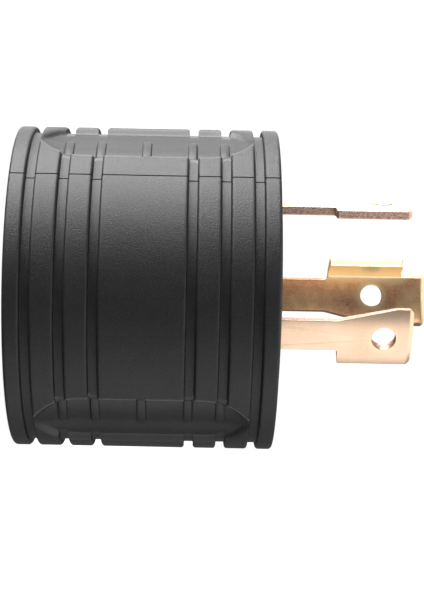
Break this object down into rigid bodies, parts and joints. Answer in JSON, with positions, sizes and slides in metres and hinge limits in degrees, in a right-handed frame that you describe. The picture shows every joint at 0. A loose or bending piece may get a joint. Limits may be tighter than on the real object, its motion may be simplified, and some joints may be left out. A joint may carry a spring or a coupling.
{
  "type": "plug adapter",
  "caption": "Round one-piece power adapter: banded black shell, three curved twist-lock blades at one end, slotted socket with a round ground hole at the other.",
  "frame": {"origin": "centre of the socket end, on the plane that the socket end stands on", "axes": "+Z along the axis towards the plug blades; the shells part on the XZ plane"},
  "size_m": [0.052, 0.052, 0.0684],
  "materials": {
    "shell_plastic": "fine moulded texture",
    "face_plastic": "fine moulded texture",
    "carrier_plastic": "plain moulded",
    "barrier_board": "plain moulded",
    "blade_brass": "satin, brown sheared edges",
    "ground_brass": "satin, brown sheared edges",
    "strap_copper": "rolled",
    "contact_bronze": "rolled",
    "spring_steel": "spring temper",
    "rivet_brass": "formed",
    "screw_steel": "zinc plated",
    "insert_brass": "turned"
  },
  "bodies": {
    "root": {"housing_front": "shell_plastic", "housing_rear": "shell_plastic", "socket_face": "face_plastic", "contact_carrier": "carrier_plastic", "insulation_barrier": "barrier_board", "plug_face": "face_plastic", "blade_line": "blade_brass", "blade_neutral": "blade_brass", "blade_ground": "ground_brass", "strap_line": "strap_copper", "strap_neutral": "strap_copper", "strap_ground": "strap_copper", "contact_line": "contact_bronze", "contact_neutral": "contact_bronze", "contact_ground": "contact_bronze", "spring_line": "spring_steel", "spring_neutral": "spring_steel", "spring_ground": "spring_steel", "blade_rivets": "rivet_brass", "contact_rivets": "rivet_brass", "core_screws": "screw_steel", "screw_inserts": "insert_brass"}
  },
  "joints": []
}
